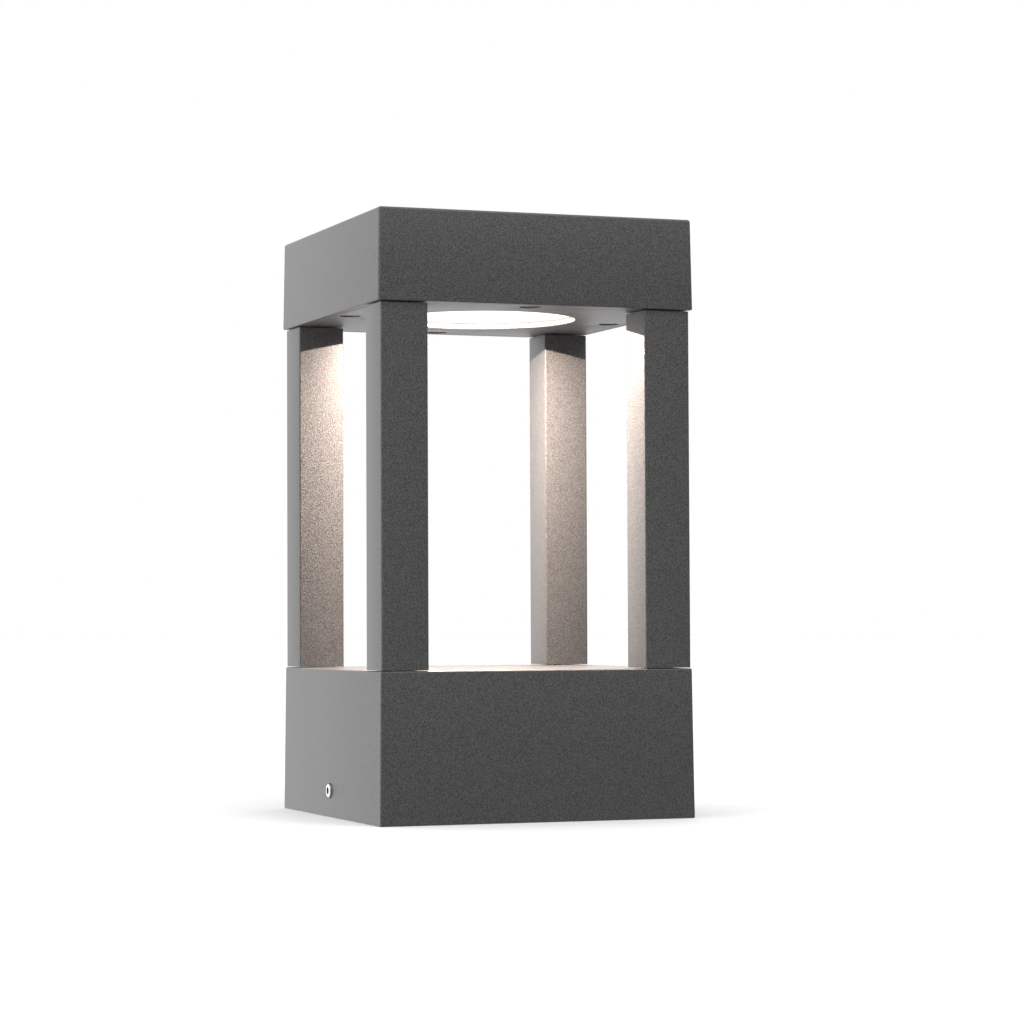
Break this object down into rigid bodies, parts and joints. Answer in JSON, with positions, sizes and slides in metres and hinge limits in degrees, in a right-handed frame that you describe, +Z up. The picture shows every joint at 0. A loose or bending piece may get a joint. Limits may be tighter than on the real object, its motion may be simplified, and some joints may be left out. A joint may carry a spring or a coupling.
{
  "type": "bollard light",
  "caption": "Low square lantern bollard light: box head with a downward opal LED window on corner posts over a box base, on a ground bracket.",
  "frame": {"origin": "centre of the ground face, between the four sides of the base", "axes": "+Z up through the head; -Y out of the front face; the set screws are on the -X and +X sides"},
  "size_m": [0.1212, 0.12, 0.217],
  "materials": {
    "powder_coat": "fine-textured matt anthracite powder coat",
    "zinc_steel": "bright zinc plated",
    "stainless": "plain stainless",
    "brass": "plain",
    "rubber": "matt",
    "aluminium": "machined",
    "opal": "opal acrylic, satin, lit from behind",
    "reflector_white": "white",
    "phosphor": "yellow phosphor over the chips",
    "board_white": "white solder mask on aluminium",
    "thermal_silicone": "soft, matt",
    "driver_case": "moulded",
    "nylon": "moulded",
    "insulation_red": "satin",
    "insulation_black": "satin",
    "insulation_brown": "satin",
    "insulation_blue": "satin",
    "insulation_green": "satin"
  },
  "bodies": {
    "bracket": {"mounting_bracket": "zinc_steel"},
    "luminaire": {"base_cover": "zinc_steel", "base_gasket": "rubber", "base_shell": "powder_coat", "cable_gland": "nylon", "clamp_ring": "aluminium", "clamp_screw_1": "stainless", "clamp_screw_2": "stainless", "clamp_screw_3": "stainless", "cover_screw_back": "stainless", "cover_screw_front": "stainless", "cover_screw_left": "stainless", "cover_screw_right": "stainless", "driver_screw_1": "stainless", "driver_screw_2": "stainless", "earth_lead": "insulation_green", "earth_screw": "brass", "earth_tag": "brass", "gland_cap_nut": "nylon", "gland_lock_nut": "nylon", "head_gasket": "rubber", "head_screw_back": "stainless", "head_screw_front": "stainless", "head_screw_left": "stainless", "head_screw_right": "stainless", "head_shell": "powder_coat", "led_board": "board_white", "led_driver": "driver_case", "led_emitter": "phosphor", "led_lead_negative": "insulation_black", "led_lead_positive": "insulation_red", "led_screw_1": "stainless", "led_screw_2": "stainless", "mains_lead_live": "insulation_brown", "mains_lead_neutral": "insulation_blue", "opal_window": "opal", "post_back_left": "powder_coat", "post_back_right": "powder_coat", "post_front_left": "powder_coat", "post_front_right": "powder_coat", "reflector": "reflector_white", "terminal_block": "nylon", "terminal_screw_1": "brass", "terminal_screw_2": "brass", "terminal_screw_3": "brass", "thermal_pad": "thermal_silicone", "tie_nut_back_left": "zinc_steel", "tie_nut_back_right": "zinc_steel", "tie_nut_front_left": "zinc_steel", "tie_nut_front_right": "zinc_steel", "tie_rod_back_left": "zinc_steel", "tie_rod_back_right": "zinc_steel", "tie_rod_front_left": "zinc_steel", "tie_rod_front_right": "zinc_steel", "underside_plate": "powder_coat", "window_seal": "rubber"},
    "set_screw_left": {"set_screw_left": "stainless"},
    "set_screw_right": {"set_screw_right": "stainless"}
  },
  "joints": [
    {"name": "luminaire_lift", "type": "slide", "parent": "bracket", "child": "luminaire", "axis": [0, 0, 1], "range_m": [0, 0.03]},
    {"name": "left_screw_turn", "type": "hinge", "parent": "luminaire", "child": "set_screw_left", "pos_m": [-0.058, 0, 0.0096], "axis": [-1, 0, 0], "range_deg": [0, 720]},
    {"name": "right_screw_turn", "type": "hinge", "parent": "luminaire", "child": "set_screw_right", "pos_m": [0.058, 0, 0.0096], "axis": [1, 0, 0], "range_deg": [0, 720]}
  ]
}
